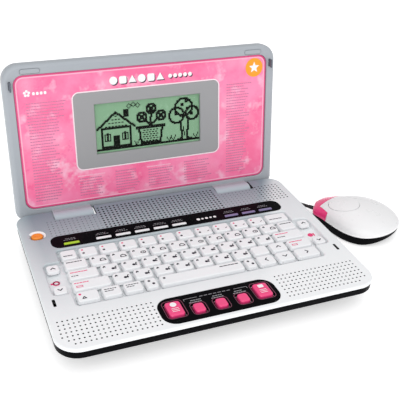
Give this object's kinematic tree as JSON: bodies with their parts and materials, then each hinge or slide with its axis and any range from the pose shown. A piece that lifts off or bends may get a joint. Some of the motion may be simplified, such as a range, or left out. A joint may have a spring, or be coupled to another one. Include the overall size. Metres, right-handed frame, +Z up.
{
  "type": "toy laptop computer",
  "caption": "Toy laptop computer with a hinged lid and screen, a sprung keyboard, a button strip, a front button panel and a corded mouse.",
  "frame": {"origin": "on the table, under the middle of the box around laptop and mouse without the cord", "axes": "+X to the right as the user sits, towards the mouse; +Y away from the user, towards the lid; +Z up"},
  "size_m": [0.3869, 0.2505, 0.1719],
  "materials": {
    "white_case": "moulded, satin, pale grey-white",
    "black_case": "moulded, glossy black",
    "gloss_black": "polished black inlay",
    "key_white": "satin white key mouldings",
    "green_key": "yellow-green",
    "lavender_key": "lavender",
    "pink_key": "bright pink",
    "orange_button": "orange",
    "lid_silver": "silver-grey moulding",
    "catch_grey": "dark grey moulding",
    "pink_panel": "mottled pink printed panel",
    "bezel_grey": "mid-grey satin",
    "screen_window": "clear window",
    "lcd": "green liquid-crystal cell",
    "rubber_black": "matt black",
    "steel": "plain steel",
    "cell_wrap": "dark wrapped cell, bare ends",
    "circuit_board": "green laminate",
    "membrane": "grey silicone sheet",
    "mouse_white": "white, slightly glossy",
    "mouse_black": "glossy black",
    "mouse_pink": "bright pink"
  },
  "bodies": {
    "base": {"top_case": "white_case", "bottom_case": "black_case", "battery_door": "black_case", "battery_1": "cell_wrap", "battery_2": "cell_wrap", "battery_3": "cell_wrap", "case_screw_front_left": "steel", "case_screw_front_right": "steel", "case_screw_rear_left": "steel", "case_screw_rear_right": "steel", "foot_front_left": "rubber_black", "foot_front_right": "rubber_black", "foot_rear_left": "rubber_black", "foot_rear_right": "rubber_black", "main_board": "circuit_board", "key_membrane": "membrane", "speaker": "steel", "control_strip": "gloss_black", "front_panel": "gloss_black", "cord_gland": "rubber_black", "hinge_pin_left": "steel", "hinge_pin_right": "steel", "mouse_cord": "rubber_black"},
    "lid": {"lid_back_shell": "lid_silver", "lid_front_frame": "lid_silver", "faceplate": "pink_panel", "screen_bezel": "bezel_grey", "screen_window": "screen_window", "lcd_module": "lcd", "catch_left": "catch_grey", "catch_right": "catch_grey", "bumper_left": "rubber_black", "bumper_right": "rubber_black"},
    "key_row_1": {"key_row_1": "key_white"},
    "key_row_2": {"key_row_2": "key_white"},
    "key_row_3": {"key_row_3": "key_white"},
    "key_row_4": {"key_row_4": "key_white"},
    "key_row_5_left": {"key_row_5_left": "key_white"},
    "space_bar": {"space_bar": "key_white"},
    "key_row_5_right": {"key_row_5_right": "key_white"},
    "volume_up_key": {"volume_up_key": "key_white"},
    "volume_down_key": {"volume_down_key": "key_white"},
    "contrast_up_key": {"contrast_up_key": "key_white"},
    "contrast_down_key": {"contrast_down_key": "key_white"},
    "green_mode_key": {"green_mode_key": "green_key"},
    "activity_keys": {"activity_keys": "key_white"},
    "menu_keys": {"menu_keys": "lavender_key"},
    "power_button": {"power_button": "orange_button"},
    "pink_key_1": {"pink_key_1": "pink_key"},
    "pink_key_2": {"pink_key_2": "pink_key"},
    "pink_key_3": {"pink_key_3": "pink_key"},
    "pink_key_4": {"pink_key_4": "pink_key"},
    "pink_key_5": {"pink_key_5": "pink_key"},
    "mouse": {"mouse_base": "mouse_black", "mouse_top": "mouse_white", "mouse_collar": "mouse_pink", "mouse_board": "circuit_board", "mouse_glide": "rubber_black", "mouse_strain_relief": "rubber_black"},
    "mouse_key": {"mouse_key": "mouse_white"}
  },
  "joints": [
    {"name": "lid_hinge", "type": "hinge", "parent": "base", "child": "lid", "pos_m": [-0.0498, 0.0755, 0.019], "axis": [1, 0, 0], "range_deg": [-25, 98.1]},
    {"name": "key_row_1_press", "type": "slide", "parent": "base", "child": "key_row_1", "axis": [0, 0, -1], "range_m": [0, 0.0015], "stiffness_N_per_m": 400, "springref_m": -0.001},
    {"name": "key_row_2_press", "type": "slide", "parent": "base", "child": "key_row_2", "axis": [0, 0, -1], "range_m": [0, 0.0015], "stiffness_N_per_m": 400, "springref_m": -0.001},
    {"name": "key_row_3_press", "type": "slide", "parent": "base", "child": "key_row_3", "axis": [0, 0, -1], "range_m": [0, 0.0015], "stiffness_N_per_m": 400, "springref_m": -0.001},
    {"name": "key_row_4_press", "type": "slide", "parent": "base", "child": "key_row_4", "axis": [0, 0, -1], "range_m": [0, 0.0015], "stiffness_N_per_m": 400, "springref_m": -0.001},
    {"name": "key_row_5_left_press", "type": "slide", "parent": "base", "child": "key_row_5_left", "axis": [0, 0, -1], "range_m": [0, 0.0015], "stiffness_N_per_m": 300, "springref_m": -0.001},
    {"name": "space_bar_press", "type": "slide", "parent": "base", "child": "space_bar", "axis": [0, 0, -1], "range_m": [0, 0.0015], "stiffness_N_per_m": 300, "springref_m": -0.001},
    {"name": "key_row_5_right_press", "type": "slide", "parent": "base", "child": "key_row_5_right", "axis": [0, 0, -1], "range_m": [0, 0.0015], "stiffness_N_per_m": 300, "springref_m": -0.001},
    {"name": "volume_up_key_press", "type": "slide", "parent": "base", "child": "volume_up_key", "axis": [0, 0, -1], "range_m": [0, 0.0015], "stiffness_N_per_m": 200, "springref_m": -0.001},
    {"name": "volume_down_key_press", "type": "slide", "parent": "base", "child": "volume_down_key", "axis": [0, 0, -1], "range_m": [0, 0.0015], "stiffness_N_per_m": 200, "springref_m": -0.001},
    {"name": "contrast_up_key_press", "type": "slide", "parent": "base", "child": "contrast_up_key", "axis": [0, 0, -1], "range_m": [0, 0.0015], "stiffness_N_per_m": 200, "springref_m": -0.001},
    {"name": "contrast_down_key_press", "type": "slide", "parent": "base", "child": "contrast_down_key", "axis": [0, 0, -1], "range_m": [0, 0.0015], "stiffness_N_per_m": 200, "springref_m": -0.001},
    {"name": "green_mode_key_press", "type": "slide", "parent": "base", "child": "green_mode_key", "axis": [0, 0, -1], "range_m": [0, 0.001], "stiffness_N_per_m": 200, "springref_m": -0.001},
    {"name": "activity_keys_press", "type": "slide", "parent": "base", "child": "activity_keys", "axis": [0, 0, -1], "range_m": [0, 0.001], "stiffness_N_per_m": 200, "springref_m": -0.001},
    {"name": "menu_keys_press", "type": "slide", "parent": "base", "child": "menu_keys", "axis": [0, 0, -1], "range_m": [0, 0.001], "stiffness_N_per_m": 200, "springref_m": -0.001},
    {"name": "power_button_press", "type": "slide", "parent": "base", "child": "power_button", "axis": [0, 0, -1], "range_m": [0, 0.001], "stiffness_N_per_m": 200, "springref_m": -0.001},
    {"name": "pink_key_1_press", "type": "slide", "parent": "base", "child": "pink_key_1", "axis": [0, 0, -1], "range_m": [0, 0.0012], "stiffness_N_per_m": 200, "springref_m": -0.001},
    {"name": "pink_key_2_press", "type": "slide", "parent": "base", "child": "pink_key_2", "axis": [0, 0, -1], "range_m": [0, 0.0012], "stiffness_N_per_m": 200, "springref_m": -0.001},
    {"name": "pink_key_3_press", "type": "slide", "parent": "base", "child": "pink_key_3", "axis": [0, 0, -1], "range_m": [0, 0.0012], "stiffness_N_per_m": 200, "springref_m": -0.001},
    {"name": "pink_key_4_press", "type": "slide", "parent": "base", "child": "pink_key_4", "axis": [0, 0, -1], "range_m": [0, 0.0012], "stiffness_N_per_m": 200, "springref_m": -0.001},
    {"name": "pink_key_5_press", "type": "slide", "parent": "base", "child": "pink_key_5", "axis": [0, 0, -1], "range_m": [0, 0.0012], "stiffness_N_per_m": 200, "springref_m": -0.001},
    {"name": "mouse_slide", "type": "slide", "parent": "base", "child": "mouse", "axis": [1, 0, 0], "range_m": [-0.004, 0.02], "deforming": ["mouse_cord"]},
    {"name": "mouse_key_press", "type": "slide", "parent": "mouse", "child": "mouse_key", "axis": [0, 0, -1], "range_m": [0, 0.0008], "stiffness_N_per_m": 200, "springref_m": -0.001}
  ]
}
